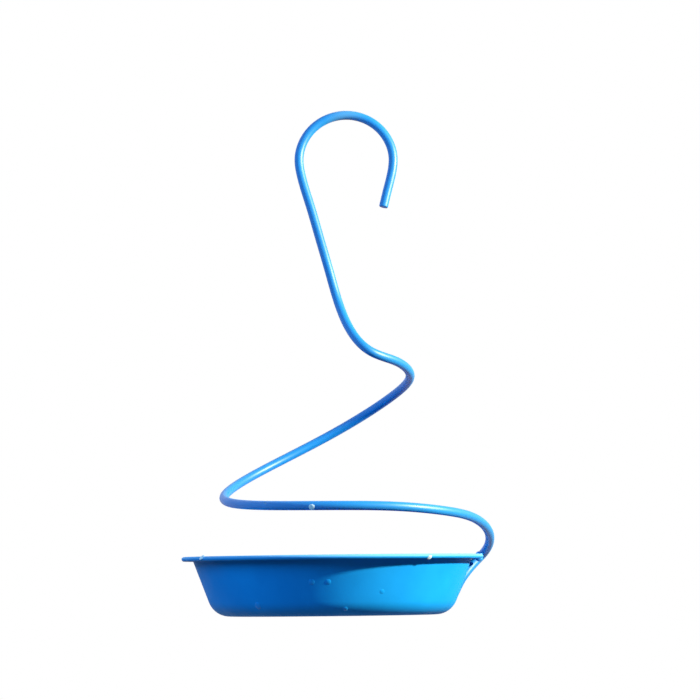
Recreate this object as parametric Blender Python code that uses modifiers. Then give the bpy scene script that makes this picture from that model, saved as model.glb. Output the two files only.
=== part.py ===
"""Hanging mealworm feeder: a pressed steel dish on one bent steel rod, with the weld beads that join them.

Lengths are in metres. +Z is up, +X is to the right and +Y points away from the viewer, who sees the hook
face on. The origin is the centre of the dish's flat underside. The rod is described from its free tip
downwards: hook, leg, spiral round the dish's axis, and the end that is welded to the outside of the wall.
Heights called a rise are measured from the top of the dish's rim, so the hanger follows the dish.
"""
from math import acos, atan2, ceil, cos, pi, radians, sin, sqrt, tan

import bmesh
import bpy
import numpy as np

# Dish: one pressed sheet
SHEET_GAUGE = 0.001
DISH_HEIGHT = 0.0394            # underside to the top of the flange
CORNER_RADIUS = 0.0781          # where the wall's outer line would meet the underside
WALL_LEAN = radians(20.7)       # from upright, opening upwards
FLOOR_FILLET = 0.014            # bend from floor to wall, at the middle of the sheet
FLANGE_BEND = 0.0018            # bend from wall to flange, at the middle of the sheet
FLANGE_REACH = 0.0065           # from the wall's outer line to the rim's outer edge, at the top
ROLL_DIAMETER = 0.003           # rolled rim, over the sheet
ROLL_SWEEP = radians(250)       # how far the rim is rolled under

# Hanger: one bent rod
ROD_DIAMETER = 0.006
HOOK_RADIUS = 0.0313            # to the middle of the rod
HOOK_OFFSET = 0.012             # hook's centre to the right of the dish's axis
HOOK_RISE = 0.2617              # hook's centre
HOOK_TILT = radians(8)          # hook and leg lie in one plane, whose top leans away from the viewer
HOOK_TIP_LENGTH = 0.0252        # straight end below the hook's arc
HOOK_TIP_SWEEP = radians(13.8)  # how far the arc goes below level on the tip's side
HOOK_LEG_SWEEP = radians(15.3)  # and on the leg's side
LEG_LENGTH = 0.0915             # straight, from the hook's arc to the bend above the spiral

# Spiral: the sides of the dish that it passes in turn, with its rises there and four of its radii
LEAD_IN_ANGLE = radians(-50)    # under the leg's foot, counted from the right-hand side towards the back
LEAD_IN_RADIUS = 0.0426
LEAD_IN_RISE = 0.1324
RIGHT_RADIUS = 0.0522
RIGHT_RISE = 0.121
BACK_RIGHT_RISE = 0.1069
BACK_RISE = 0.0825
LEFT_RADIUS = 0.0706
LEFT_RISE = 0.0404
FRONT_RISE = 0.0313
FRONT_RIGHT_RISE = 0.0287
LAST_ANGLE = radians(345)       # nearly a full turn after the first pass on the right
LAST_INSET = 0.002              # inwards from the rim's outer edge, so the last turn follows the rim
LAST_RISE = 0.0228

# Seat: where the rod passes the rim and lies on the wall
SEAT_GAP = 0.0003               # clearance between touching pieces
RIM_PASS_ANGLE = radians(20.1)  # behind the right-hand side
RIM_APPROACH = radians(2.5)     # turn from above the rim to the straight tail
RIM_APPROACH_RISE = 0.0026      # above the start of the tail
RIM_APPROACH_ROOM = 0.0006      # further out than the start of the tail
RIM_RELIEF = 0.0004             # extra room where the tail passes under the roll
TAIL_SLOPE = radians(45)        # from upright
TAIL_RUN = 0.007                # straight, from outside the rim to under its roll
TAIL_TURN = radians(0.3)        # turn round the dish along that length
LANDING_TURN = radians(-1)      # and on to the wall
LANDING_EASE = 0.004            # length in which the rod settles on the wall
SEAT_LENGTH = 0.008             # welded length on the wall
SEAT_TURN = radians(1.8)        # turn along that length
WELD_DIAMETER = 0.0028
WELD_END_INSET = 0.0015         # from the rod's cut end to the ends of the beads on the wall
TACK_DIAMETER = 0.0048
TACK_LENGTH = 0.007
TACK_TURN = radians(4.8)        # from the rod towards the viewer, on the outside of the rim

# Smoothness of the solids
DISH_STEPS = 64
MERGE_DISTANCE = 0.00001        # closes the turned dish at its seam and at its axis
SHEET_TOLERANCE = 0.0001        # how far a flat facet may stray from a round bend
SHEET_COARSEST_STEP = radians(30)
HOOK_STATIONS = 12
SPIRAL_STATIONS = 18
FINE_STEPS = 3000               # along the whole rod, before it is thinned to rings
ROD_LONGEST_STEP = 0.012
ROD_TURN_STEP = radians(10)
ROD_RING_SIDES = 10
WELD_TAPER = (0.55, 0.85, 1.0, 1.0, 1.0, 0.85, 0.55)
OTHER_TURN = 8                  # rod diameters along the rod, past which two places are on different turns

# Worked out from the sizes above
ROD_RADIUS = ROD_DIAMETER / 2
ROLL_RADIUS = ROLL_DIAMETER / 2
WELD_RADIUS = WELD_DIAMETER / 2
TACK_RADIUS = TACK_DIAMETER / 2
RIM_RADIUS = CORNER_RADIUS + DISH_HEIGHT * tan(WALL_LEAN) + FLANGE_REACH
ROLL_CENTRE_RADIUS = RIM_RADIUS - ROLL_RADIUS
ROLL_CENTRE_HEIGHT = DISH_HEIGHT - ROLL_RADIUS

COAT_COLOUR = (0.006, 0.215, 0.687, 1.0)
COAT_ROUGHNESS = 0.3
WELD_ROUGHNESS = 0.4


class SheetWalk:
    """Traces the middle of a bent sheet in the (radius, height) plane as straight runs and round bends."""

    def __init__(self, radius, height):
        self.place = np.array([radius, height])
        self.heading = 0.0
        self.steps = [(self.place, self.heading)]

    def left(self):
        return np.array([-sin(self.heading), cos(self.heading)])

    def run(self, length):
        self.place = self.place + length * np.array([cos(self.heading), sin(self.heading)])
        self.steps.append((self.place, self.heading))

    def bend(self, angle, radius):
        """Turns left for a positive angle and right for a negative one."""
        to_centre = radius if angle > 0 else -radius
        centre = self.place + to_centre * self.left()
        start = self.heading
        finest_step = 2 * acos(1 - SHEET_TOLERANCE / max(radius, SHEET_TOLERANCE))
        count = ceil(abs(angle) / min(finest_step, SHEET_COARSEST_STEP))
        for step in range(1, count + 1):
            self.heading = start + angle * step / count
            self.place = centre - to_centre * self.left()
            self.steps.append((self.place, self.heading))

    def outline(self, gauge):
        """The sheet's left face from start to end, then its right face back to the start."""
        faces = []
        for side in (0.5, -0.5):
            faces.append([p + side * gauge * np.array([-sin(h), cos(h)]) for p, h in self.steps])
        return faces[0] + faces[1][::-1]


def dish_outline():
    """Floor, fillet, wall, bend, flange and rolled rim, from the axis outwards and back under."""
    half = SHEET_GAUGE / 2
    climb = pi / 2 - WALL_LEAN
    fillet_reach = FLOOR_FILLET * tan(climb / 2)
    bend_reach = FLANGE_BEND * tan(climb / 2)
    roll_radius = ROLL_RADIUS - half
    low_corner = CORNER_RADIUS + half * tan(WALL_LEAN) - half / cos(WALL_LEAN)
    wall_rise = DISH_HEIGHT - SHEET_GAUGE
    high_corner = low_corner + wall_rise * tan(WALL_LEAN)
    walk = SheetWalk(0.0, half)
    walk.run(low_corner - fillet_reach)
    walk.bend(climb, FLOOR_FILLET)
    walk.run(wall_rise / cos(WALL_LEAN) - fillet_reach - bend_reach)
    walk.bend(-climb, FLANGE_BEND)
    walk.run(ROLL_CENTRE_RADIUS - high_corner - bend_reach)
    walk.bend(-ROLL_SWEEP, roll_radius)
    return walk.outline(SHEET_GAUGE)


def polar(angle, radius, height):
    return np.array([radius * cos(angle), radius * sin(angle), height])


def natural_spline(knots, values, at):
    """Reads a natural cubic spline through the rows of values, one for each knot, at the given places."""
    knots = np.asarray(knots, float)
    values = np.asarray(values, float)
    at = np.asarray(at, float)
    gaps = np.diff(knots)
    slopes = np.diff(values, axis=0) / gaps[:, None]
    system = np.eye(len(knots))
    bends = np.zeros_like(values)
    for i in range(1, len(gaps)):
        system[i, i - 1:i + 2] = gaps[i - 1], 2 * (gaps[i - 1] + gaps[i]), gaps[i]
        bends[i] = 6 * (slopes[i] - slopes[i - 1])
    bends = np.linalg.solve(system, bends)
    span = np.clip(np.searchsorted(knots, at, side="right") - 1, 0, len(gaps) - 1)
    width = gaps[span]
    after = (at - knots[span]) / width
    before = 1 - after
    before, after, width = before[:, None], after[:, None], width[:, None]
    straight = before * values[span] + after * values[span + 1]
    curved = (before ** 3 - before) * bends[span] + (after ** 3 - after) * bends[span + 1]
    return straight + curved * width ** 2 / 6


def hook_stations():
    """Free tip, round hook and straight leg, all in one tilted plane."""
    centre = np.array([HOOK_OFFSET, 0.0, DISH_HEIGHT + HOOK_RISE])
    across = np.array([1.0, 0.0, 0.0])
    up = np.array([0.0, sin(HOOK_TILT), cos(HOOK_TILT)])
    sweep = np.linspace(-HOOK_TIP_SWEEP, pi + HOOK_LEG_SWEEP, HOOK_STATIONS)
    arc = [centre + HOOK_RADIUS * (cos(a) * across + sin(a) * up) for a in sweep]
    tip_run = -sin(HOOK_TIP_SWEEP) * across - cos(HOOK_TIP_SWEEP) * up
    leg_run = sin(HOOK_LEG_SWEEP) * across - cos(HOOK_LEG_SWEEP) * up
    tip = [arc[0] + share * HOOK_TIP_LENGTH * tip_run for share in (1.0, 0.5)]
    leg = [arc[-1] + share * LEG_LENGTH * leg_run for share in (0.25, 0.5, 0.75, 1.0)]
    return tip + arc + leg


def spiral_stations():
    """The opening spiral, from under the leg to the last place above the rim."""
    turn = 2 * pi
    radii = {
        LEAD_IN_ANGLE: LEAD_IN_RADIUS,
        0.0: RIGHT_RADIUS,
        turn / 2: LEFT_RADIUS,
        LAST_ANGLE: RIM_RADIUS - LAST_INSET,
    }
    rises = {
        LEAD_IN_ANGLE: LEAD_IN_RISE,
        0.0: RIGHT_RISE,
        turn / 8: BACK_RIGHT_RISE,
        turn / 4: BACK_RISE,
        turn / 2: LEFT_RISE,
        turn * 3 / 4: FRONT_RISE,
        turn * 7 / 8: FRONT_RIGHT_RISE,
        LAST_ANGLE: LAST_RISE,
    }
    angles = np.linspace(LEAD_IN_ANGLE, LAST_ANGLE, SPIRAL_STATIONS)
    radius_at = natural_spline(list(radii), [[radius] for radius in radii.values()], angles)[:, 0]
    rise_at = natural_spline(list(rises), [[rise] for rise in rises.values()], angles)[:, 0]
    return [polar(*place) for place in zip(angles, radius_at, DISH_HEIGHT + rise_at)]


def seat_radius(height):
    """Distance from the axis to the middle of a rod that lies on the outside of the wall."""
    return CORNER_RADIUS + height * tan(WALL_LEAN) + (ROD_RADIUS + SEAT_GAP) / cos(WALL_LEAN)


def seat_stations():
    """The rod's end: slanting down outside the rim, in under its roll, and along the wall."""
    clear = ROLL_RADIUS + ROD_RADIUS + SEAT_GAP + RIM_RELIEF
    under_radius = ROLL_CENTRE_RADIUS + clear * cos(TAIL_SLOPE)
    under_height = ROLL_CENTRE_HEIGHT - clear * sin(TAIL_SLOPE)
    pass_radius = under_radius + TAIL_RUN * sin(TAIL_SLOPE)
    pass_height = under_height + TAIL_RUN * cos(TAIL_SLOPE)
    approach_angle = RIM_PASS_ANGLE - RIM_APPROACH
    under_angle = RIM_PASS_ANGLE + TAIL_TURN
    room = under_radius - seat_radius(under_height)
    slant = room / (sin(TAIL_SLOPE) - cos(TAIL_SLOPE) * tan(WALL_LEAN))
    landing_height = under_height - slant * cos(TAIL_SLOPE) - LANDING_EASE * cos(WALL_LEAN)
    stations = [
        polar(approach_angle, pass_radius + RIM_APPROACH_ROOM, pass_height + RIM_APPROACH_RISE),
        polar(RIM_PASS_ANGLE, pass_radius, pass_height),
        polar(under_angle, under_radius, under_height),
    ]
    for share in (0.0, 0.5, 1.0):
        height = landing_height - share * SEAT_LENGTH * cos(WALL_LEAN)
        angle = under_angle + LANDING_TURN + share * SEAT_TURN
        stations.append(polar(angle, seat_radius(height), height))
    return stations


def smooth_path(stations):
    """A smooth curve through the stations, in steps much finer than the rod's rings."""
    stations = np.array(stations)
    along = np.concatenate([[0.0], np.cumsum(np.linalg.norm(np.diff(stations, axis=0), axis=1))])
    return natural_spline(along, stations, np.linspace(0.0, along[-1], FINE_STEPS))


def ring_places(path):
    """Thins a fine path: a ring for each full step of length and turn together, so bends get more."""
    runs = np.diff(path, axis=0)
    lengths = np.linalg.norm(runs, axis=1)
    headings = runs / lengths[:, None]
    turns = np.arccos(np.clip(np.sum(headings[1:] * headings[:-1], axis=1), -1, 1))
    effort = lengths / ROD_LONGEST_STEP
    effort[1:] += turns / ROD_TURN_STEP
    effort = np.concatenate([[0.0], np.cumsum(effort)])
    even = np.linspace(0.0, effort[-1], round(effort[-1]) + 1)
    return np.stack([np.interp(even, effort, path[:, axis]) for axis in range(3)], axis=1)


def least_turn_gap(path):
    """Smallest clearance between two turns of the rod, away from each place's own neighbours."""
    apart = np.linalg.norm(path[:, None] - path[None, :], axis=2)
    along = np.concatenate([[0.0], np.cumsum(np.linalg.norm(np.diff(path, axis=0), axis=1))])
    other_turn = np.abs(along[:, None] - along[None, :]) > OTHER_TURN * ROD_DIAMETER
    return apart[other_turn].min() - ROD_DIAMETER


def coat_material(name, roughness):
    """Blue powder coat: a plain glossy paint over the steel."""
    material = bpy.data.materials.new(name)
    material.use_nodes = True
    shader = material.node_tree.nodes["Principled BSDF"]
    shader.inputs["Base Color"].default_value = COAT_COLOUR
    shader.inputs["Roughness"].default_value = roughness
    shader.inputs["Metallic"].default_value = 0.0
    material.diffuse_color = COAT_COLOUR
    return material


def place_object(name, data, material, collection, parent):
    data.materials.append(material)
    piece = bpy.data.objects.new(name, data)
    collection.objects.link(piece)
    piece.parent = parent
    return piece


def make_dish(collection, parent):
    """Turns the sheet's outline about the axis."""
    mesh = bpy.data.meshes.new("dish")
    profile = bmesh.new()
    verts = [profile.verts.new((radius, 0.0, height)) for radius, height in dish_outline()]
    for first, second in zip(verts, verts[1:]):
        profile.edges.new((first, second))
    profile.to_mesh(mesh)
    profile.free()
    dish = place_object("dish", mesh, coat_material("dish_coat", COAT_ROUGHNESS), collection, parent)
    turn = dish.modifiers.new("turn", "SCREW")
    turn.steps = DISH_STEPS
    turn.render_steps = DISH_STEPS
    turn.use_merge_vertices = True
    turn.merge_threshold = MERGE_DISTANCE
    turn.use_smooth_shade = True
    return dish


def make_tube(name, points, radius, material, collection, parent, thickness=None):
    """A round bar along the points, closed at both ends; thickness scales its radius at each point."""
    curve = bpy.data.curves.new(name, "CURVE")
    curve.dimensions = "3D"
    curve.bevel_depth = radius
    curve.bevel_resolution = (ROD_RING_SIDES - 4) // 2
    curve.use_fill_caps = True
    spline = curve.splines.new("POLY")
    spline.points.add(len(points) - 1)
    for index, place in enumerate(points):
        spline.points[index].co = (*place, 1.0)
        spline.points[index].radius = 1.0 if thickness is None else thickness[index]
    return place_object(name, curve, material, collection, parent)


def wall_bead(path, first, last, side):
    """The line of a bead in the groove between the rod's end and the wall, clear of both.

    first and last are places along the rod's path, and side is 1 for the side towards the viewer and -1 for
    the far side.
    """
    across = sqrt((ROD_RADIUS + WELD_RADIUS + SEAT_GAP) ** 2 - (ROD_RADIUS - WELD_RADIUS) ** 2)
    points = []
    for index in np.linspace(first, last, len(WELD_TAPER)).round().astype(int):
        place = path[index]
        azimuth = atan2(place[1], place[0])
        inward = np.array([-cos(azimuth) * cos(WALL_LEAN), -sin(azimuth) * cos(WALL_LEAN), sin(WALL_LEAN)])
        along = path[index + 1] - path[index - 1]
        sideways = np.cross(inward, along)
        sideways *= side / np.linalg.norm(sideways)
        points.append(place + (ROD_RADIUS - WELD_RADIUS) * inward + across * sideways)
    return points


def rim_tack():
    """The upright line of the tack beside the rod, on the outside of the rolled rim and clear of both."""
    angle = RIM_PASS_ANGLE + TAIL_TURN - TACK_TURN
    radius = RIM_RADIUS + TACK_RADIUS + SEAT_GAP
    heights = ROLL_CENTRE_HEIGHT + TACK_LENGTH * np.linspace(-0.5, 0.5, len(WELD_TAPER))
    return [polar(angle, radius, height) for height in heights]


def make_welds(path, collection, parent):
    """Two beads along the rod's end on the wall, and one tack at the rolled rim."""
    fine_step = np.linalg.norm(np.diff(path, axis=0), axis=1).mean()
    end = len(path) - 1
    seat_first = end - round(SEAT_LENGTH / fine_step)
    seat_last = end - round(WELD_END_INSET / fine_step)
    beads = (
        ("wall_weld_front", wall_bead(path, seat_first, seat_last, 1), WELD_RADIUS),
        ("wall_weld_back", wall_bead(path, seat_first, seat_last, -1), WELD_RADIUS),
        ("rim_tack_weld", rim_tack(), TACK_RADIUS),
    )
    for name, points, radius in beads:
        material = coat_material(name + "_coat", WELD_ROUGHNESS)
        make_tube(name, points, radius, material, collection, parent, WELD_TAPER)


def main():
    for old in list(bpy.data.objects):
        bpy.data.objects.remove(old)
    collection = bpy.data.collections.new("mealworm_feeder")
    bpy.context.scene.collection.children.link(collection)
    frame = bpy.data.objects.new("feeder_frame", None)
    collection.objects.link(frame)

    make_dish(collection, frame)
    path = smooth_path(hook_stations() + spiral_stations() + seat_stations())
    rings = ring_places(path)
    material = coat_material("hanger_coat", COAT_ROUGHNESS)
    make_tube("spiral_hanger", rings, ROD_RADIUS, material, collection, frame)
    make_welds(path, collection, frame)

    print(f"rim radius {RIM_RADIUS * 1000:.2f} mm, rod length "
          f"{np.linalg.norm(np.diff(path, axis=0), axis=1).sum() * 1000:.1f} mm in {len(rings)} rings")
    print(f"least gap between turns {least_turn_gap(rings) * 1000:.1f} mm")
    return path


main()
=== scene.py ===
# %% [markdown]
# # A hanging mealworm feeder, finished for the camera
# The real feeder is two pieces of steel under one blue powder coat. A pressed dish holds the feed. A rod
# bent into a hook, a leg and an opening spiral carries the dish, welded to the outside of its wall. The
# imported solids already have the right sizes, so this lesson gives each of them a fine surface, a finish
# and a studio.

# %% Load the frame
from math import atan2, ceil, cos, pi, radians, sin, sqrt, tan

import bpy
import numpy as np
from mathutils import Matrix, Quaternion, Vector


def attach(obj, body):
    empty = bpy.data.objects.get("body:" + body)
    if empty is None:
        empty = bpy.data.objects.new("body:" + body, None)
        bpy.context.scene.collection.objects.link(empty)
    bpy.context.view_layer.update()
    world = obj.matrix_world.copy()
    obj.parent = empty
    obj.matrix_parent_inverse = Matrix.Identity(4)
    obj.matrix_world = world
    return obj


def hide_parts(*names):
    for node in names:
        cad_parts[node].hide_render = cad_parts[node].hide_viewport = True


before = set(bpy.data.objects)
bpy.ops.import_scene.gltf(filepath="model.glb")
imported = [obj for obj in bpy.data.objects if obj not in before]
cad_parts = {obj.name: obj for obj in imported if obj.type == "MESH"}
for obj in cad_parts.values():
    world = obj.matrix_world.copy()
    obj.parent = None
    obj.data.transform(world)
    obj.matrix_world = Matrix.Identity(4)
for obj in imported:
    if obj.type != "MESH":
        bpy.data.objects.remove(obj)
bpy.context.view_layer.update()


print("packed nodes:", ", ".join(sorted(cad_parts)))

# %% [markdown]
# ## Camera
# The feeder hangs at eye height, so the eye is just under the rim and the dish shows its wall and none
# of its floor. A long lens from 2.5 m away keeps the rim almost a straight line, and the whole frame is
# turned by under a degree. `to_track_quat` aims the camera, and a last turn about its own line of sight
# gives the roll.

# %% Aim the camera
CAMERA_PLACE = Vector((0.0132, -2.5, 0.0205))
CAMERA_AIM = Vector((0.0132, 0.0, 0.1752))
CAMERA_LENS = 194.5
CAMERA_SENSOR = 36.0
CAMERA_ROLL = radians(-0.64)

camera_data = bpy.data.cameras.new("eye_height_camera")
camera_data.lens = CAMERA_LENS
camera_data.sensor_width = CAMERA_SENSOR
camera = bpy.data.objects.new("eye_height_camera", camera_data)
camera.location = CAMERA_PLACE
camera.rotation_mode = "QUATERNION"
aim = (CAMERA_AIM - CAMERA_PLACE).to_track_quat("-Z", "Y")
camera.rotation_quaternion = aim @ Quaternion((0.0, 0.0, 1.0), CAMERA_ROLL)
bpy.context.scene.collection.objects.link(camera)
bpy.context.scene.camera = camera
print(f"camera {(CAMERA_AIM - CAMERA_PLACE).length:.2f} m from its aim, with a {CAMERA_LENS} mm lens")

# %% [markdown]
# ## Helpers for nodes
# The backdrop, the paint and the shapes are all trees of nodes. They could be wired by hand in the
# editor, but a script shows every step and gives the same result each time. Three helpers keep the trees
# short: one fills an input, one adds a node, and one does a sum.

# %% Wire, add and calculate
def wire(tree, socket, value):
    """Links an output to an input, or sets the input's own value."""
    if isinstance(value, bpy.types.NodeSocket):
        tree.links.new(value, socket)
    else:
        socket.default_value = value


def add(tree, kind, inputs=(), **options):
    """Adds a node, sets its options, fills its inputs by name or place, and returns its outputs."""
    node = tree.nodes.new(kind)
    for option, value in options.items():
        setattr(node, option, value)
    for label, value in dict(inputs).items():
        wire(tree, node.inputs[label], value)
    return node.outputs


def calc(tree, operation, *values):
    """One step of arithmetic on fields or numbers."""
    return add(tree, "ShaderNodeMath", dict(enumerate(values)), operation=operation)[0]


print("node helpers:", ", ".join(helper.__name__ for helper in (wire, add, calc)))

# %% [markdown]
# ## Backdrop
# The background is plain white. White light at full strength from all round would wash out the paint, so
# Light Path asks which ray is looking: the eye, a mirror and glass see white at a strength of 1, and
# everything else gets the weak blue light of open shade. The view transform Standard shows each colour
# as it is written.

# %% Paint the backdrop
WHITE = (1.0, 1.0, 1.0, 1.0)
SHADE_COLOUR = (0.4, 0.62, 1.0, 1.0)
SHADE_STRENGTH = 0.09


def looked_at(tree):
    """One where the eye, a mirror or glass looks at a surface, and nought where only its light matters."""
    path = add(tree, "ShaderNodeLightPath")
    seen = calc(tree, "MAXIMUM", path["Is Camera Ray"], path["Is Glossy Ray"])
    return calc(tree, "MAXIMUM", seen, path["Is Transmission Ray"])


def light_world():
    """A white backdrop for the eye, mirrors and glass, and a weak blue light for everything else."""
    world = bpy.data.worlds.new("studio_world")
    world.use_nodes = True
    tree = world.node_tree
    tree.nodes.clear()
    shade = add(tree, "ShaderNodeBackground", {"Color": SHADE_COLOUR, "Strength": SHADE_STRENGTH})[0]
    white = add(tree, "ShaderNodeBackground", {"Color": WHITE, "Strength": 1.0})[0]
    both = add(tree, "ShaderNodeMixShader", {0: looked_at(tree), 1: shade, 2: white})[0]
    add(tree, "ShaderNodeOutputWorld", {"Surface": both})
    bpy.context.scene.world = world


light_world()
bpy.context.scene.view_settings.view_transform = "Standard"
print(f"white backdrop, with shade light of strength {SHADE_STRENGTH}")

# %% [markdown]
# ## Softboxes
# The feeder hangs outdoors in low sun, under a blue sky. A sun lamp and a sky texture could do that, but
# three round softboxes are easier to place. A small warm one, low on the right, throws the rim's crisp
# shadow on the wall. A wide blue one at the front left does what the sky does, and a weak one behind
# keeps the back clear. Only the small one shows in the gloss, because wide ones would lay a milky streak
# along the rod.

# %% Hang the softboxes
LIGHT_AIM = Vector((0.0, 0.0, 0.12))
LIGHT_DISTANCE = 1.6
# Name, bearing from the right-hand side, elevation, width, power, colour, and whether the gloss shows it
SOFTBOXES = (
    ("sun_softbox", radians(-21), radians(19.3), 0.12, 80.0, (1.0, 0.93, 0.7), True),
    ("sky_softbox", radians(-135), radians(27), 1.0, 21.0, (0.3, 0.64, 1.0), False),
    ("back_softbox", radians(115), radians(35), 1.0, 8.0, (0.6, 0.75, 1.0), False),
)


def hang_softbox(name, bearing, elevation, width, power, colour, mirrored):
    """A round softbox, aimed at the middle of the feeder."""
    lamp = bpy.data.lights.new(name, "AREA")
    lamp.shape = "DISK"
    lamp.size = width
    lamp.energy = power
    lamp.color = colour
    softbox = bpy.data.objects.new(name, lamp)
    level = cos(elevation)
    towards = Vector((cos(bearing) * level, sin(bearing) * level, sin(elevation)))
    softbox.location = LIGHT_AIM + LIGHT_DISTANCE * towards
    softbox.rotation_mode = "QUATERNION"
    softbox.rotation_quaternion = (-towards).to_track_quat("-Z", "Y")
    softbox.visible_glossy = mirrored
    bpy.context.scene.collection.objects.link(softbox)


for softbox_setting in SOFTBOXES:
    hang_softbox(*softbox_setting)
print("softboxes:", ", ".join(setting[0] for setting in SOFTBOXES))

# %% [markdown]
# ## Floor
# The feeder hangs high, so the floor lies well below it, out of the picture, and shows only from other
# sides. One large square is enough. It is nearly white to the eye, a mirror and glass, as the backdrop
# is, and the rest of its look is matt paint, so that it still takes a shadow and sends little light back
# to the coat.

# %% Lay the floor
FLOOR_DROP = 1.5
FLOOR_SIDE = 60.0
FLOOR_COLOUR = (0.26, 0.3, 0.4, 1.0)
FLOOR_WHITENESS = 0.85


def floor_paint():
    """Pale paint that looks nearly white, and still takes a shadow."""
    paint = bpy.data.materials.new("floor_paint")
    paint.use_nodes = True
    tree = paint.node_tree
    tree.nodes.clear()
    matt = add(tree, "ShaderNodeBsdfDiffuse", {"Color": FLOOR_COLOUR})[0]
    white = add(tree, "ShaderNodeEmission", {"Color": WHITE, "Strength": 1.0})[0]
    share = calc(tree, "MULTIPLY", looked_at(tree), FLOOR_WHITENESS)
    both = add(tree, "ShaderNodeMixShader", {0: share, 1: matt, 2: white})[0]
    add(tree, "ShaderNodeOutputMaterial", {"Surface": both})
    return paint


def lay_floor():
    """A plain pale floor, a person's shoulder height below the hanging dish."""
    mesh = bpy.data.meshes.new("studio_floor")
    half = FLOOR_SIDE / 2
    signs = ((-1, -1), (1, -1), (1, 1), (-1, 1))
    corners = [(x * half, y * half, -FLOOR_DROP) for x, y in signs]
    mesh.from_pydata(corners, [], [(0, 1, 2, 3)])
    mesh.materials.append(floor_paint())
    floor = bpy.data.objects.new("studio_floor", mesh)
    bpy.context.scene.collection.objects.link(floor)


lay_floor()

# %% [markdown]
# ## Helpers for Geometry Nodes
# A tree of Geometry Nodes makes a shape from a few named sizes, and anyone can change the sizes later.
# These helpers start a tree with its named inputs, end it with its finish, and run it on a guide mesh.
# What comes out is kept as a plain mesh, because a live modifier would not travel with the model.

# %% Start, end and run a tree
def start_tree(name, sizes):
    """A new tree with a guide input, the named sizes and an output for the piece."""
    tree = bpy.data.node_groups.new(name, "GeometryNodeTree")
    tree.interface.new_socket("Guide", in_out="INPUT", socket_type="NodeSocketGeometry")
    for label, kind in sizes.items():
        tree.interface.new_socket(label, in_out="INPUT", socket_type="NodeSocket" + kind)
    tree.interface.new_socket("Piece", in_out="OUTPUT", socket_type="NodeSocketGeometry")
    return tree, tree.nodes.new("NodeGroupInput").outputs


def end_tree(tree, shape, finish):
    """Makes the shape real, gives it its finish and sends it out."""
    shape = add(tree, "GeometryNodeRealizeInstances", {"Geometry": shape})["Geometry"]
    shape = add(tree, "GeometryNodeSetMaterial", {"Geometry": shape, "Material": finish})["Geometry"]
    wire(tree, tree.nodes.new("NodeGroupOutput").inputs["Piece"], shape)


def guide_mesh(name, places, joined=True):
    """Bare points for a tree to read, joined into a line or left loose."""
    edges = [(i, i + 1) for i in range(len(places) - 1)] if joined else []
    mesh = bpy.data.meshes.new(name)
    mesh.from_pydata([tuple(place) for place in places], edges, [])
    return mesh


def make_piece(name, guide, tree, sizes):
    """Runs a tree on a guide mesh, and keeps what it makes as a plain mesh at the origin."""
    piece = bpy.data.objects.new(name, guide)
    bpy.context.scene.collection.objects.link(piece)
    modifier = piece.modifiers.new("shape", "NODES")
    modifier.node_group = tree
    for item in tree.interface.items_tree:
        if item.in_out == "INPUT" and item.name in sizes:
            modifier[item.identifier] = sizes[item.name]
    made = piece.evaluated_get(bpy.context.evaluated_depsgraph_get())
    mesh = bpy.data.meshes.new_from_object(made)
    piece.modifiers.remove(modifier)
    piece.data = mesh
    mesh.name = name
    triangles = sum(len(face.vertices) - 2 for face in mesh.polygons)
    print(f"{name}: {len(mesh.vertices)} points, {triangles} triangles")
    return piece


tree_helpers = (start_tree, end_tree, guide_mesh, make_piece)
print("tree helpers:", ", ".join(helper.__name__ for helper in tree_helpers))

# %% Steps that the trees share
def smooth(tree, shape):
    """Shades the shape smooth."""
    return add(tree, "GeometryNodeSetShadeSmooth", {"Geometry": shape, "Shade Smooth": True})["Geometry"]


def nearness(tree, away, reach):
    """One at a place, falling evenly to nought at the given reach from it."""
    left = calc(tree, "SUBTRACT", 1.0, calc(tree, "DIVIDE", away, reach))
    return calc(tree, "MAXIMUM", left, 0.0)


def mark_rub(tree, shape, rub):
    """Keeps a field on the shape's points under the name `rub`, for the coat to read."""
    marked = {"Geometry": shape, "Name": "rub", "Value": rub}
    return add(tree, "GeometryNodeStoreNamedAttribute", marked)["Geometry"]


print("shared steps:", ", ".join(step.__name__ for step in (smooth, nearness, mark_rub)))

# %% [markdown]
# ## Powder coat
# The paint is baked powder: one deep blue with a satin gloss, a fine orange peel, and the slow waves of
# pressed sheet under it. A flat colour would look like plastic, so noise moves the tone and the gloss a
# little, and two bumps at their real scales break up the highlights. A `rub` value on the mesh thins the
# coat where it wears. Dish, rod, welds and nibs each have their own depth, roughness, peel and shine. The
# rod's lower depth is painted shade: a darker copy of the one coat.

# %% Helpers for the finishes
def start_finish(name):
    """A new material, with its tree and its shader."""
    finish = bpy.data.materials.new(name)
    finish.use_nodes = True
    return finish, finish.node_tree, finish.node_tree.nodes["Principled BSDF"]


def noise(tree, scale, detail):
    """A noise that stays fixed to the piece."""
    place = add(tree, "ShaderNodeTexCoord")["Object"]
    return add(tree, "ShaderNodeTexNoise", {"Vector": place, "Scale": scale, "Detail": detail})["Fac"]


def spread(tree, value, source, target=(0.0, 1.0)):
    """Maps a range of a field to another, and stops at its ends."""
    return add(tree, "ShaderNodeMapRange", dict(enumerate((value, *source, *target))))[0]


def mix_colours(tree, share, first, second):
    """Goes from one colour to another."""
    # A Mix node takes its colours in at places 6 and 7, and gives one out at place 2
    return add(tree, "ShaderNodeMix", {0: share, 6: first, 7: second}, data_type="RGBA")[2]


def bump(tree, strength, distance, height, **under):
    """Tilts the surface by a field of heights, over another bump if one is given."""
    relief = {"Strength": strength, "Distance": distance, "Height": height}
    return add(tree, "ShaderNodeBump", {**relief, **under})[0]


finish_helpers = (start_finish, noise, spread, mix_colours, bump)
print("finish helpers:", ", ".join(helper.__name__ for helper in finish_helpers))

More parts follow.
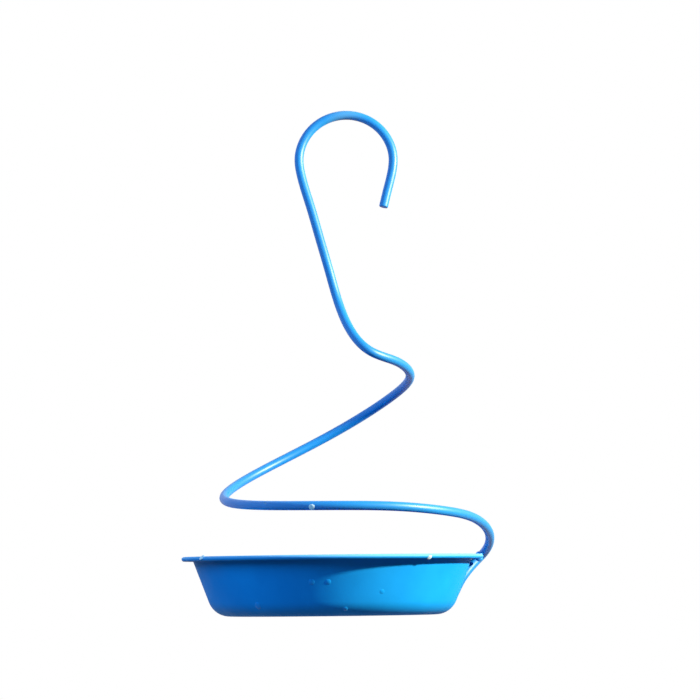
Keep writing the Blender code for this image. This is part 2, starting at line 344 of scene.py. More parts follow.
# %% Mix the powder coat
COAT_DEEP = (0.002, 0.24, 0.7, 1.0)
COAT_BRIGHT = (0.004, 0.28, 0.78, 1.0)
COAT_THIN = (0.14, 0.44, 0.8, 1.0)
COAT_RUBBED = (0.3, 0.5, 0.7, 1.0)
# Scale and detail of each noise
TONE_NOISE = (26.0, 3.0)
GLOSS_NOISE = (70.0, 2.0)
WEAR_NOISE = (420.0, 4.0)
WAVE_NOISE = (34.0, 1.0)
PEEL_NOISE = (620.0, 2.0)
# The part of each field over which the look changes from end to end
TONE_RANGE = (0.35, 0.65)
GLOSS_RANGE = (0.3, 0.7)
THIN_RANGE = (0.0, 0.6)
WEAR_RANGE = (0.42, 0.55)
WAVE_STRENGTH = 0.25
WAVE_HEIGHT = 0.0008
PEEL_HEIGHT = 0.0002


def toned(colour, depth):
    """A colour with its red, green and blue scaled by the depth of the coat."""
    return tuple(depth * part for part in colour[:3]) + (1.0,)


def powder_coat(name, depth, roughness, peel, shine):
    """The blue coat, with its depth of colour, range of roughness, orange peel and shine."""
    coat, tree, shader = start_finish(name)
    shader.inputs["Specular IOR Level"].default_value = shine
    tone = spread(tree, noise(tree, *TONE_NOISE), TONE_RANGE)
    blue = mix_colours(tree, tone, toned(COAT_DEEP, depth), toned(COAT_BRIGHT, depth))
    rub = add(tree, "ShaderNodeAttribute", attribute_name="rub")["Fac"]
    blue = mix_colours(tree, spread(tree, rub, THIN_RANGE), blue, toned(COAT_THIN, depth))
    wear = calc(tree, "MULTIPLY", rub, noise(tree, *WEAR_NOISE))
    colour = mix_colours(tree, spread(tree, wear, WEAR_RANGE), blue, COAT_RUBBED)
    gloss = spread(tree, noise(tree, *GLOSS_NOISE), GLOSS_RANGE, roughness)
    wave = bump(tree, WAVE_STRENGTH, WAVE_HEIGHT, noise(tree, *WAVE_NOISE))
    skin = bump(tree, peel, PEEL_HEIGHT, noise(tree, *PEEL_NOISE), Normal=wave)
    wire(tree, shader.inputs["Base Color"], colour)
    wire(tree, shader.inputs["Roughness"], gloss)
    wire(tree, shader.inputs["Normal"], skin)
    return coat


dish_coat = powder_coat("dish_coat", depth=1.0, roughness=(0.58, 0.66), peel=0.12, shine=0.12)
# The rod's coat is a darker copy of the dish's, at depth 0.76: painted shade
hanger_coat = powder_coat("hanger_coat", depth=0.76, roughness=(0.42, 0.48), peel=0.05, shine=0.6)
weld_coat = powder_coat("weld_coat", depth=1.0, roughness=(0.3, 0.4), peel=0.3, shine=0.5)
nib_coat = powder_coat("nib_coat", depth=1.0, roughness=(0.34, 0.4), peel=0.05, shine=0.15)
print("coats:", ", ".join(coat.name for coat in (dish_coat, hanger_coat, weld_coat, nib_coat)))

# %% [markdown]
# ## The dish's section
# The dish is one round of 1 mm steel sheet, pressed and then rolled at the rim. Its section is a walk
# along the middle of the sheet: out over the floor, up round the fillet, along the leaning wall, out
# over the flange, and under in the roll. Stepping half the gauge to each side of that walk gives the two
# faces of the sheet.

# %% Lengths and turns of the sheet
SHEET_GAUGE = 0.001
DISH_HEIGHT = 0.0394
CORNER_RADIUS = 0.0781
WALL_LEAN = radians(20.7)
FLOOR_FILLET = 0.014
FLANGE_BEND = 0.0018
FLANGE_REACH = 0.0065
ROLL_DIAMETER = 0.003
ROLL_SWEEP = radians(250)

ROLL_RADIUS = ROLL_DIAMETER / 2
RIM_RADIUS = CORNER_RADIUS + DISH_HEIGHT * tan(WALL_LEAN) + FLANGE_REACH
ROLL_CENTRE_RADIUS = RIM_RADIUS - ROLL_RADIUS
ROLL_CENTRE_HEIGHT = DISH_HEIGHT - ROLL_RADIUS


def sheet_moves():
    """Each stretch of the sheet as a length and a turn, from the axis to the end of the roll."""
    half = SHEET_GAUGE / 2
    climb = pi / 2 - WALL_LEAN
    fillet_reach = FLOOR_FILLET * tan(climb / 2)
    bend_reach = FLANGE_BEND * tan(climb / 2)
    low_corner = CORNER_RADIUS + half * tan(WALL_LEAN) - half / cos(WALL_LEAN)
    wall_rise = DISH_HEIGHT - SHEET_GAUGE
    high_corner = low_corner + wall_rise * tan(WALL_LEAN)
    return [
        (low_corner - fillet_reach, 0.0),
        (FLOOR_FILLET * climb, climb),
        (wall_rise / cos(WALL_LEAN) - fillet_reach - bend_reach, 0.0),
        (FLANGE_BEND * climb, -climb),
        (ROLL_CENTRE_RADIUS - high_corner - bend_reach, 0.0),
        ((ROLL_RADIUS - half) * ROLL_SWEEP, -ROLL_SWEEP),
    ]


# %% Walk the sheet
RUN_STEP = 0.006
BEND_STEP = radians(7)


def sheet_section():
    """The sheet's two faces as one line of (radius, 0, height), from the axis over the rim and back."""
    place = np.array([0.0, 0.0, SHEET_GAUGE / 2])
    heading = 0.0
    steps = [(place, heading)]
    for length, turn in sheet_moves():
        count = max(ceil(abs(turn) / BEND_STEP), ceil(length / RUN_STEP))
        half_turn = turn / count / 2
        chord = length / count * (sin(half_turn) / half_turn if turn else 1.0)
        for _ in range(count):
            towards = heading + half_turn
            place = place + chord * np.array([cos(towards), 0.0, sin(towards)])
            heading += 2 * half_turn
            steps.append((place, heading))
    faces = []
    for side in (0.5, -0.5):
        faces.append([p + side * SHEET_GAUGE * np.array([-sin(h), 0.0, cos(h)]) for p, h in steps])
    return faces[0] + faces[1][::-1]


section = sheet_section()
print(f"section of {len(section)} points")

# %% [markdown]
# ## Turning the dish
# A Screw modifier could turn the section, but a tree can also mark where the paint rubs. A grid has one
# row for each point of the section and one column for each step round the axis. Every grid point looks
# up its section point by row, and its column gives the angle. Merging points that meet closes the seam
# and the centre.

# %% Turn a section with nodes
MERGE_DISTANCE = 0.000002


def turned_grid(tree, line, steps):
    """A grid with a row for each point of the line and a column for each step, wrapped round the axis."""
    rows = add(tree, "GeometryNodeAttributeDomainSize", {0: line}, component="MESH")["Point Count"]
    columns = calc(tree, "ADD", steps, 1.0)
    grid = add(tree, "GeometryNodeMeshGrid", {"Vertices X": rows, "Vertices Y": columns})["Mesh"]
    index = add(tree, "GeometryNodeInputIndex")[0]
    row = calc(tree, "FLOOR", calc(tree, "DIVIDE", index, columns))
    column = calc(tree, "MODULO", index, columns)
    angle = calc(tree, "DIVIDE", calc(tree, "MULTIPLY", column, 2 * pi), steps)
    lookup = {"Geometry": line, "Value": add(tree, "GeometryNodeInputPosition")[0], "Index": row}
    found = add(tree, "GeometryNodeSampleIndex", lookup, data_type="FLOAT_VECTOR", domain="POINT")[0]
    part = add(tree, "ShaderNodeSeparateXYZ", {0: found})
    x = calc(tree, "MULTIPLY", part["X"], calc(tree, "COSINE", angle))
    y = calc(tree, "MULTIPLY", part["X"], calc(tree, "SINE", angle))
    place = add(tree, "ShaderNodeCombineXYZ", {"X": x, "Y": y, "Z": part["Z"]})[0]
    shape = add(tree, "GeometryNodeSetPosition", {"Geometry": grid, "Position": place})["Geometry"]
    merge = {"Geometry": shape, "Distance": MERGE_DISTANCE}
    return add(tree, "GeometryNodeMergeByDistance", merge)["Geometry"]


def long_side(tree, first, second):
    """The long side of a right-angled triangle, from its two short ones."""
    squares = [calc(tree, "POWER", side, 2.0) for side in (first, second)]
    return calc(tree, "SQRT", calc(tree, "ADD", *squares))


def turned_sheet_tree():
    """Turns a section about Z, and marks the coat near the rim's upper edge as rubbed."""
    sizes = {"Steps": "Int", "Rim Radius": "Float", "Rim Height": "Float", "Rub Reach": "Float",
             "Finish": "Material"}
    tree, size = start_tree("turned_sheet", sizes)
    shape = smooth(tree, turned_grid(tree, size["Guide"], size["Steps"]))
    here = add(tree, "ShaderNodeSeparateXYZ", {0: add(tree, "GeometryNodeInputPosition")[0]})
    aside = calc(tree, "SUBTRACT", long_side(tree, here["X"], here["Y"]), size["Rim Radius"])
    below = calc(tree, "SUBTRACT", here["Z"], size["Rim Height"])
    rub = nearness(tree, long_side(tree, aside, below), size["Rub Reach"])
    end_tree(tree, mark_rub(tree, shape, rub), size["Finish"])
    return tree


turned_sheet = turned_sheet_tree()
print(f"{turned_sheet.name}: a tree of {len(turned_sheet.nodes)} nodes")

# %% Make the dish
DISH_STEPS = 224
RIM_RUB_REACH = 0.002

dish = make_piece("dish_pressing", guide_mesh("dish_section", section), turned_sheet, {
    "Steps": DISH_STEPS,
    "Rim Radius": RIM_RADIUS,
    "Rim Height": DISH_HEIGHT,
    "Rub Reach": RIM_RUB_REACH,
    "Finish": dish_coat,
})

# %% [markdown]
# ## The rod's route
# One 6 mm rod is bent cold into the whole hanger, so its middle line has no corners. A few stations say
# where it goes: the hook and leg lie in one leaning plane, the spiral opens round the dish's axis as it
# comes down, and the end passes outside the rim and lies on the wall. A curve drawn by hand would need
# handles at each station. A natural cubic spline needs only the stations, and bends as a springy rod does.

# %% A springy line through stations
def natural_spline(knots, values, at):
    """Reads a natural cubic spline through the rows of values, one for each knot, at the given places."""
    knots, values, at = [np.asarray(numbers, float) for numbers in (knots, values, at)]
    gaps = np.diff(knots)
    slopes = np.diff(values, axis=0) / gaps[:, None]
    system = np.eye(len(knots))
    bends = np.zeros_like(values)
    for i in range(1, len(gaps)):
        system[i, i - 1:i + 2] = gaps[i - 1], 2 * (gaps[i - 1] + gaps[i]), gaps[i]
        bends[i] = 6 * (slopes[i] - slopes[i - 1])
    bends = np.linalg.solve(system, bends)
    span = np.clip(np.searchsorted(knots, at, side="right") - 1, 0, len(gaps) - 1)
    width = gaps[span][:, None]
    after = (at - knots[span])[:, None] / width
    before = 1 - after
    straight = before * values[span] + after * values[span + 1]
    curved = (before ** 3 - before) * bends[span] + (after ** 3 - after) * bends[span + 1]
    return straight + curved * width ** 2 / 6


def polar(angle, radius, height):
    """A place by its angle round the axis, its distance from the axis and its height."""
    return np.array([radius * cos(angle), radius * sin(angle), height])


halfway = natural_spline([0, 1, 2], [[0], [1], [0]], [0.5])
print(f"a spline up from 0 to 1 and down again reads {halfway.item():.4f} halfway up")

# %% Hook and leg
ROD_RADIUS = 0.003
HOOK_RADIUS = 0.0313
HOOK_OFFSET = 0.012
HOOK_RISE = 0.2617
HOOK_TILT = radians(8)
HOOK_TIP_LENGTH = 0.0252
HOOK_TIP_SWEEP = radians(13.8)
HOOK_LEG_SWEEP = radians(15.3)
LEG_LENGTH = 0.0915
HOOK_STATIONS = 12

HOOK_CENTRE = np.array([HOOK_OFFSET, 0.0, DISH_HEIGHT + HOOK_RISE])
HOOK_ACROSS = np.array([1.0, 0.0, 0.0])
HOOK_UP = np.array([0.0, sin(HOOK_TILT), cos(HOOK_TILT)])


def hook_stations():
    """Free tip, round hook and straight leg, all in one tilted plane."""
    sweep = np.linspace(-HOOK_TIP_SWEEP, pi + HOOK_LEG_SWEEP, HOOK_STATIONS)
    arc = [HOOK_CENTRE + HOOK_RADIUS * (cos(a) * HOOK_ACROSS + sin(a) * HOOK_UP) for a in sweep]
    tip_run = -sin(HOOK_TIP_SWEEP) * HOOK_ACROSS - cos(HOOK_TIP_SWEEP) * HOOK_UP
    leg_run = sin(HOOK_LEG_SWEEP) * HOOK_ACROSS - cos(HOOK_LEG_SWEEP) * HOOK_UP
    tip = [arc[0] + share * HOOK_TIP_LENGTH * tip_run for share in (1.0, 0.5)]
    leg = [arc[-1] + share * LEG_LENGTH * leg_run for share in (0.25, 0.5, 0.75, 1.0)]
    return tip + arc + leg


# %% Spiral
LEAD_IN_ANGLE = radians(-50)
LEAD_IN_RADIUS = 0.0426
LEAD_IN_RISE = 0.1324
RIGHT_RADIUS = 0.0522
RIGHT_RISE = 0.121
BACK_RIGHT_RISE = 0.1069
BACK_RISE = 0.0825
LEFT_RADIUS = 0.0706
LEFT_RISE = 0.0404
FRONT_RISE = 0.0313
FRONT_RIGHT_RISE = 0.0287
LAST_ANGLE = radians(345)
LAST_INSET = 0.002
LAST_RISE = 0.0228
SPIRAL_STATIONS = 18

LAST_RADIUS = RIM_RADIUS - LAST_INSET


def spiral_stations():
    """The opening spiral, from under the leg to the last place above the rim."""
    turn = 2 * pi
    radii = {
        LEAD_IN_ANGLE: LEAD_IN_RADIUS,
        0.0: RIGHT_RADIUS,
        turn / 2: LEFT_RADIUS,
        LAST_ANGLE: LAST_RADIUS,
    }
    rises = {
        LEAD_IN_ANGLE: LEAD_IN_RISE,
        0.0: RIGHT_RISE,
        turn / 8: BACK_RIGHT_RISE,
        turn / 4: BACK_RISE,
        turn / 2: LEFT_RISE,
        turn * 3 / 4: FRONT_RISE,
        turn * 7 / 8: FRONT_RIGHT_RISE,
        LAST_ANGLE: LAST_RISE,
    }
    angles = np.linspace(LEAD_IN_ANGLE, LAST_ANGLE, SPIRAL_STATIONS)
    radius_at = natural_spline(list(radii), [[radius] for radius in radii.values()], angles)[:, 0]
    rise_at = natural_spline(list(rises), [[rise] for rise in rises.values()], angles)[:, 0]
    return [polar(*place) for place in zip(angles, radius_at, DISH_HEIGHT + rise_at)]


# %% Seat on the wall
SEAT_GAP = 0.0003
RIM_PASS_ANGLE = radians(20.1)
RIM_APPROACH = radians(2.5)
RIM_APPROACH_RISE = 0.0026
RIM_APPROACH_ROOM = 0.0006
RIM_RELIEF = 0.0004
TAIL_SLOPE = radians(45)
TAIL_RUN = 0.007
TAIL_TURN = radians(0.3)
LANDING_TURN = radians(-1)
LANDING_EASE = 0.004
SEAT_LENGTH = 0.008
SEAT_TURN = radians(1.8)


def seat_radius(height):
    """Distance from the axis to the middle of a rod that lies on the outside of the wall."""
    return CORNER_RADIUS + height * tan(WALL_LEAN) + (ROD_RADIUS + SEAT_GAP) / cos(WALL_LEAN)


def seat_stations():
    """The rod's end: slanting down outside the rim, in under its roll, and along the wall."""
    clear = ROLL_RADIUS + ROD_RADIUS + SEAT_GAP + RIM_RELIEF
    under_radius = ROLL_CENTRE_RADIUS + clear * cos(TAIL_SLOPE)
    under_height = ROLL_CENTRE_HEIGHT - clear * sin(TAIL_SLOPE)
    pass_radius = under_radius + TAIL_RUN * sin(TAIL_SLOPE)
    pass_height = under_height + TAIL_RUN * cos(TAIL_SLOPE)
    approach_angle = RIM_PASS_ANGLE - RIM_APPROACH
    under_angle = RIM_PASS_ANGLE + TAIL_TURN
    room = under_radius - seat_radius(under_height)
    slant = room / (sin(TAIL_SLOPE) - cos(TAIL_SLOPE) * tan(WALL_LEAN))
    landing_height = under_height - slant * cos(TAIL_SLOPE) - LANDING_EASE * cos(WALL_LEAN)
    stations = [
        polar(approach_angle, pass_radius + RIM_APPROACH_ROOM, pass_height + RIM_APPROACH_RISE),
        polar(RIM_PASS_ANGLE, pass_radius, pass_height),
        polar(under_angle, under_radius, under_height),
    ]
    for share in (0.0, 0.5, 1.0):
        height = landing_height - share * SEAT_LENGTH * cos(WALL_LEAN)
        angle = under_angle + LANDING_TURN + share * SEAT_TURN
        stations.append(polar(angle, seat_radius(height), height))
    return stations


print(f"rod passes the rim {np.degrees(RIM_PASS_ANGLE):.1f} degrees behind the right-hand side")

# %% [markdown]
# ## Sweeping the rod
# Curve to Mesh sweeps a circle along the route. The rod was cut with a shear, so its ends are flat with
# a small rounded edge: the sweep shrinks there, and the route has extra points close to the ends. The
# inside of the hook's top is where the feeder hangs, so the coat is marked as rubbed near that place.

# %% Join the stations
ROD_STEP = 0.001
END_ROUND = 0.0007
END_POINTS = 5


def lengths_along(places):
    """How far along a line of places each of them is."""
    return np.concatenate([[0.0], np.cumsum(np.linalg.norm(np.diff(places, axis=0), axis=1))])


def rod_route():
    """The rod's middle line in even steps, with close steps at both ends for the rounded edges."""
    stations = np.array(hook_stations() + spiral_stations() + seat_stations())
    along = lengths_along(stations)
    close = END_ROUND * (1 - np.cos(np.linspace(0.0, pi / 2, END_POINTS)))
    even = np.linspace(2 * END_ROUND, along[-1] - 2 * END_ROUND, round(along[-1] / ROD_STEP))
    return natural_spline(along, stations, np.concatenate([close, even, along[-1] - close[::-1]]))


route = rod_route()

# %% Sweep a circle with nodes
def from_nearer_end(tree):
    """How far each point of a line is from the nearer of its ends."""
    length = add(tree, "GeometryNodeSplineParameter")["Length"]
    left = calc(tree, "SUBTRACT", add(tree, "GeometryNodeSplineLength")["Length"], length)
    return calc(tree, "MINIMUM", length, left)


def sweep_circle(tree, size, scale):
    """Sweeps a circle along the guide, scaled by a field, and caps its ends."""
    line = add(tree, "GeometryNodeMeshToCurve", {"Mesh": size["Guide"]})["Curve"]
    circle = {"Resolution": size["Sides"], "Radius": size["Radius"]}
    ring = add(tree, "GeometryNodeCurvePrimitiveCircle", circle)["Curve"]
    sweep = {"Curve": line, "Profile Curve": ring, "Scale": scale, "Fill Caps": True}
    return add(tree, "GeometryNodeCurveToMesh", sweep)["Mesh"]


def swept_rod_tree():
    """Sweeps a rod, rounds the edges of its cut ends, and marks the coat near one place as rubbed."""
    sizes = {"Radius": "Float", "Sides": "Int", "End Round": "Float", "Hang Place": "Vector",
             "Rub Reach": "Float", "Rub Depth": "Float", "Finish": "Material"}
    tree, size = start_tree("swept_rod", sizes)
    share = calc(tree, "DIVIDE", from_nearer_end(tree), size["End Round"])
    short = calc(tree, "SUBTRACT", 1.0, calc(tree, "MINIMUM", share, 1.0))
    arc = calc(tree, "SQRT", calc(tree, "SUBTRACT", 1.0, calc(tree, "POWER", short, 2.0)))
    drop = calc(tree, "SUBTRACT", 1.0, arc)
    cut = calc(tree, "MULTIPLY", drop, calc(tree, "DIVIDE", size["End Round"], size["Radius"]))
    shape = smooth(tree, sweep_circle(tree, size, calc(tree, "SUBTRACT", 1.0, cut)))
    between = {0: add(tree, "GeometryNodeInputPosition")[0], 1: size["Hang Place"]}
    away = add(tree, "ShaderNodeVectorMath", between, operation="DISTANCE")["Value"]
    rub = calc(tree, "MULTIPLY", nearness(tree, away, size["Rub Reach"]), size["Rub Depth"])
    end_tree(tree, mark_rub(tree, shape, rub), size["Finish"])
    return tree


swept_rod = swept_rod_tree()
print(f"{swept_rod.name}: a tree of {len(swept_rod.nodes)} nodes")

# %% Make the rod
ROD_SIDES = 32
HANG_RUB_REACH = 0.014
HANG_RUB_DEPTH = 0.4

hang_place = HOOK_CENTRE + (HOOK_RADIUS - ROD_RADIUS) * HOOK_UP
rod = make_piece("spiral_rod", guide_mesh("rod_route", route), swept_rod, {
    "Radius": ROD_RADIUS,
    "Sides": ROD_SIDES,
    "End Round": END_ROUND,
    "Hang Place": hang_place,
    "Rub Reach": HANG_RUB_REACH,
    "Rub Depth": HANG_RUB_DEPTH,
    "Finish": hanger_coat,
})

# %% [markdown]
# ## Weld beads
# Two beads run along the rod's end on the wall, and one tack holds it at the rim. Weld metal freezes in
# lumps with faint ripples and round blunt ends, and the coat goes over it. Plain tubes would look like
# wire, so the tree sweeps a circle along the groove between rod and dish, swells it in ripples, and
# pushes its skin in and out by a fixed noise. The beads sink slightly into both pieces, so that they
# look fused to them.

# %% Find the grooves
WELD_RADIUS = 0.0014
WELD_SINK = 0.0004
WELD_END_INSET = 0.0015
TACK_RADIUS = 0.0024
TACK_LENGTH = 0.007
TACK_TURN = radians(4.8)
TACK_SINK = 0.0006
BEAD_STEPS = 60


def wall_groove(side):
    """The middle of a bead in the groove between the rod's end and the wall, on one side of the rod."""
    back = route[::-1]
    run = lengths_along(back)
    apart = ROD_RADIUS + WELD_RADIUS + SEAT_GAP
    across = sqrt(apart ** 2 - (ROD_RADIUS - WELD_RADIUS) ** 2) - WELD_SINK
    points = []
    for length in np.linspace(WELD_END_INSET, SEAT_LENGTH, BEAD_STEPS):
        place, ahead = [np.array([np.interp(at, run, back[:, axis]) for axis in range(3)])
                        for at in (length, length + ROD_STEP)]
        inward = -polar(atan2(place[1], place[0]), cos(WALL_LEAN), -sin(WALL_LEAN))
        sideways = np.cross(inward, place - ahead)
        sideways *= side / np.linalg.norm(sideways)
        points.append(place + (ROD_RADIUS - WELD_RADIUS + WELD_SINK) * inward + across * sideways)
    return points


def rim_tack():
    """The upright middle of the tack beside the rod, on the outside of the rolled rim."""
    angle = RIM_PASS_ANGLE + TAIL_TURN - TACK_TURN
    radius = RIM_RADIUS + TACK_RADIUS + SEAT_GAP - TACK_SINK
    heights = ROLL_CENTRE_HEIGHT + TACK_LENGTH * np.linspace(-0.5, 0.5, BEAD_STEPS)
    return [polar(angle, radius, height) for height in heights]


bead_lines = {
    "wall_bead_front": (wall_groove(1), WELD_RADIUS),
    "wall_bead_back": (wall_groove(-1), WELD_RADIUS),
    "rim_tack_bead": (rim_tack(), TACK_RADIUS),
}

# %% Swell and roughen with nodes
BEAD_END_LEAST = 0.01
BEAD_LUMP_DETAIL = 1.0
NOISE_MIDDLE = 0.5


def bead_tree():
    """Sweeps a rippled, lumpy bead with blunt round ends along a line."""
    sizes = {"Radius": "Float", "Sides": "Int", "Ripple Pitch": "Float", "Ripple Depth": "Float",
             "Lumps": "Float", "Lump Scale": "Float", "Finish": "Material"}
    tree, size = start_tree("weld_bead", sizes)
    share = calc(tree, "MINIMUM", calc(tree, "DIVIDE", from_nearer_end(tree), size["Radius"]), 1.0)
    short = calc(tree, "POWER", calc(tree, "SUBTRACT", 1.0, share), 2.0)
    blunt = calc(tree, "SQRT", calc(tree, "MAXIMUM", calc(tree, "SUBTRACT", 1.0, short), BEAD_END_LEAST))
    length = add(tree, "GeometryNodeSplineParameter")["Length"]
    turns = calc(tree, "MULTIPLY", calc(tree, "DIVIDE", length, size["Ripple Pitch"]), pi)
    beat = calc(tree, "ABSOLUTE", calc(tree, "SINE", turns))
    dip = calc(tree, "MULTIPLY", calc(tree, "SUBTRACT", 1.0, beat), size["Ripple Depth"])
    swell = calc(tree, "MULTIPLY", blunt, calc(tree, "SUBTRACT", 1.0, dip))
    shape = sweep_circle(tree, size, swell)
    grain = {"Scale": size["Lump Scale"], "Detail": BEAD_LUMP_DETAIL}
    lumps = add(tree, "ShaderNodeTexNoise", grain)["Fac"]
    push = calc(tree, "MULTIPLY", calc(tree, "SUBTRACT", lumps, NOISE_MIDDLE), size["Lumps"])
    outward = {0: add(tree, "GeometryNodeInputNormal")[0], "Scale": push}
    offset = add(tree, "ShaderNodeVectorMath", outward, operation="SCALE")[0]
    shape = add(tree, "GeometryNodeSetPosition", {"Geometry": shape, "Offset": offset})["Geometry"]
    end_tree(tree, smooth(tree, shape), size["Finish"])
    return tree


weld_bead = bead_tree()
print(f"{weld_bead.name}: a tree of {len(weld_bead.nodes)} nodes")

# %% Lay the beads
BEAD_SIDES = 20
RIPPLE_PITCH = 0.0012
RIPPLE_DEPTH = 0.025
BEAD_LUMPS = 0.0011
BEAD_LUMP_SCALE = 380.0

beads = {}
for bead_name, (bead_line, bead_radius) in bead_lines.items():
    beads[bead_name] = make_piece(bead_name, guide_mesh(bead_name, bead_line), weld_bead, {
        "Radius": bead_radius,
        "Sides": BEAD_SIDES,
        "Ripple Pitch": RIPPLE_PITCH,
        "Ripple Depth": RIPPLE_DEPTH,
        "Lumps": BEAD_LUMPS,
        "Lump Scale": BEAD_LUMP_SCALE,
        "Finish": weld_coat,
    })

# %% [markdown]
# ## Painted glints
# The pale specks on the rim and the rod are painted highlights: glints of light put in as pale paint. A
# speck is a few millimetres across, but a flat colour would still look like a dot of paper. One fine
# noise therefore moves its tone and its gloss together, and lifts its grain a little, as on chalky paint.

# %% Mix the paint for the painted glints
# Pale colours for the painted glints on the rim and the rod
PAINTED_GLINT_DULL = (0.5, 0.68, 0.8, 1.0)
PAINTED_GLINT_PALE = (0.7, 0.86, 0.94, 1.0)
PAINTED_GLINT_NOISE = (900.0, 3.0)
PAINTED_GLINT_ROUGHNESS = (0.35, 0.5)
PAINTED_GLINT_GRAIN = 0.3
PAINTED_GLINT_GRAIN_HEIGHT = 0.0002


def painted_glint_finish():
    """Pale paint for painted glints (painted highlights), uneven in tone and gloss, and a little chalky."""
    painted_glint, tree, shader = start_finish("painted_glint")
    grain = noise(tree, *PAINTED_GLINT_NOISE)
    pale = mix_colours(tree, spread(tree, grain, TONE_RANGE), PAINTED_GLINT_DULL, PAINTED_GLINT_PALE)
    wire(tree, shader.inputs["Base Color"], pale)
    wire(tree, shader.inputs["Roughness"], spread(tree, grain, TONE_RANGE, PAINTED_GLINT_ROUGHNESS))
    wire(tree, shader.inputs["Normal"], bump(tree, PAINTED_GLINT_GRAIN, PAINTED_GLINT_GRAIN_HEIGHT, grain))
    return painted_glint


painted_glint = painted_glint_finish()
# The finish of the painted glints: pale paint for painted highlights
print("finish under the coat:", painted_glint.name)

# %% [markdown]
# ## Nibs and painted glints
# Specks of spatter stay on the steel when it is painted, and the coat draws up over each one as a low
# nib. On the rim and the rod, small raised specks in pale paint stand for glints of light: they are
# painted highlights. They could be scattered, but here their places are listed. The tree drops each one
# on the nearest point of the painted surface, seats a sunk, flattened ball there, and varies the sizes
# with a fixed seed.

# %% Seat specks with nodes
SPECK_SUBDIVISIONS = 4


def speck_tree():
    """Seats sunk, flattened balls on a surface, near each point of the guide."""
    sizes = {"Surface": "Object", "Radius": "Float", "Flatness": "Float", "Sink": "Float",
             "Smallest": "Float", "Largest": "Float", "Seed": "Int", "Finish": "Material"}
    tree, size = start_tree("coat_specks", sizes)
    surface = add(tree, "GeometryNodeObjectInfo", {"Object": size["Surface"]})["Geometry"]
    near = add(tree, "GeometryNodeProximity", {0: surface}, target_element="FACES")["Position"]
    spot = add(tree, "GeometryNodeInputPosition")[0]
    lookup = {"Mesh": surface, "Value": add(tree, "GeometryNodeInputNormal")[0], "Sample Position": spot}
    facing = add(tree, "GeometryNodeSampleNearestSurface", lookup, data_type="FLOAT_VECTOR")[0]
    stand = add(tree, "FunctionNodeAlignRotationToVector", {"Vector": facing}, axis="Z")[0]
    points = add(tree, "GeometryNodeMeshToPoints", {"Mesh": size["Guide"]})["Points"]
    points = add(tree, "GeometryNodeSetPosition", {"Geometry": points, "Position": near})["Geometry"]
    sphere = {"Radius": size["Radius"], "Subdivisions": SPECK_SUBDIVISIONS}
    ball = smooth(tree, add(tree, "GeometryNodeMeshIcoSphere", sphere)["Mesh"])
    sink = calc(tree, "MULTIPLY", calc(tree, "MULTIPLY", size["Radius"], size["Sink"]), -1.0)
    down = add(tree, "ShaderNodeCombineXYZ", {"Z": sink})[0]
    ball = add(tree, "GeometryNodeTransform", {"Geometry": ball, "Translation": down})["Geometry"]
    # A Random Value node takes its plain numbers in at places 2 and 3, and gives one out at place 1
    chance = {2: size["Smallest"], 3: size["Largest"], "Seed": size["Seed"]}
    vary = add(tree, "FunctionNodeRandomValue", chance, data_type="FLOAT")[1]
    low = calc(tree, "MULTIPLY", vary, size["Flatness"])
    scale = add(tree, "ShaderNodeCombineXYZ", {"X": vary, "Y": vary, "Z": low})[0]
    placed = {"Points": points, "Instance": ball, "Rotation": stand, "Scale": scale}
    end_tree(tree, add(tree, "GeometryNodeInstanceOnPoints", placed)["Instances"], size["Finish"])
    return tree


coat_specks = speck_tree()
print(f"{coat_specks.name}: a tree of {len(coat_specks.nodes)} nodes")

# %% List the places and seat the specks
NIB_RADIUS = 0.0024
GLINT_SPECK_RADIUS = 0.0021
SPECK_FLATNESS = 0.26
SPECK_SINK = 0.5
SPECK_SMALLEST = 0.75
SPECK_LARGEST = 1.1
SPECK_SEED = 7
# Angle round the axis in degrees, and height in metres
WALL_NIBS = ((-98.6, 0.0221), (-91.6, 0.022), (-67.6, 0.0155), (-83.9, 0.0038), (-126.4, 0.0071))
# Painted glints on the rim: angle round the axis and turn round the roll, in degrees
RIM_GLINT_SPECKS = ((-148.1, 45.0), (-50.7, -45.0))
# Painted glints on the rod: angle round the axis in degrees, distance from it and height in metres
ROD_GLINT_SPECKS = ((-98.3, 0.0843, 0.0699),)


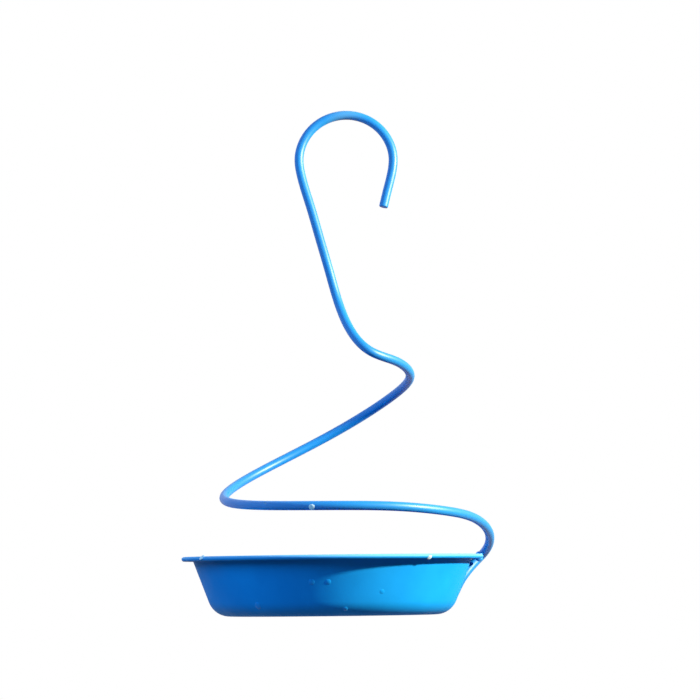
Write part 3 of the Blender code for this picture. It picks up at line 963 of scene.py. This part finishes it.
def on_wall(angle, height):
    """A place on the outside of the wall."""
    return polar(radians(angle), CORNER_RADIUS + height * tan(WALL_LEAN), height)


def by_roll(angle, turn):
    """A place just outside the rolled rim."""
    out = ROLL_DIAMETER * cos(radians(turn))
    up = ROLL_DIAMETER * sin(radians(turn))
    return polar(radians(angle), ROLL_CENTRE_RADIUS + out, ROLL_CENTRE_HEIGHT + up)


def seat_specks(name, places, surface, radius, finish):
    """One piece of nibs or painted glints on a surface."""
    return make_piece(name, guide_mesh(name, places, joined=False), coat_specks, {
        "Surface": surface,
        "Radius": radius,
        "Flatness": SPECK_FLATNESS,
        "Sink": SPECK_SINK,
        "Smallest": SPECK_SMALLEST,
        "Largest": SPECK_LARGEST,
        "Seed": SPECK_SEED,
        "Finish": finish,
    })


# The pale specks on the rim and the rod are painted glints: pale paint for painted highlights
rod_glint_places = [polar(radians(angle), radius, height) for angle, radius, height in ROD_GLINT_SPECKS]
dish_nibs = seat_specks("dish_nibs", [on_wall(*nib) for nib in WALL_NIBS], dish, NIB_RADIUS, nib_coat)
rim_chips = seat_specks("rim_chips", [by_roll(*rim_glint) for rim_glint in RIM_GLINT_SPECKS], dish, GLINT_SPECK_RADIUS, painted_glint)
rod_nibs = seat_specks("rod_nibs", rod_glint_places, rod, GLINT_SPECK_RADIUS, painted_glint)

# %% [markdown]
# ## Joining the frame
# The feeder has no moving piece, so everything rides on the one body. Dish, rod and beads each stand for
# a imported solid, which stays hidden for collision. Nibs and painted glints are extra. The table lists
# the slot that each piece's finish belongs to.

# %% Ride on the body
stands_for = (
    (dish, ["dish"], "dish_coat"),
    (rod, ["spiral_hanger"], "hanger_coat"),
    (beads["wall_bead_front"], ["wall_weld_front"], "weld_coat"),
    (beads["wall_bead_back"], ["wall_weld_back"], "weld_coat"),
    (beads["rim_tack_bead"], ["rim_tack_weld"], "weld_coat"),
    (dish_nibs, [], "dish_coat"),
    # The pale specks on the rim and the rod are painted glints
    (rim_chips, [], "dish_coat"),
    (rod_nibs, [], "hanger_coat"),
)
for piece, nodes, slot in stands_for:
    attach(piece, "root")
    if nodes:
        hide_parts(*nodes)
print("pieces:", ", ".join(piece.name for piece, _, _ in stands_for))
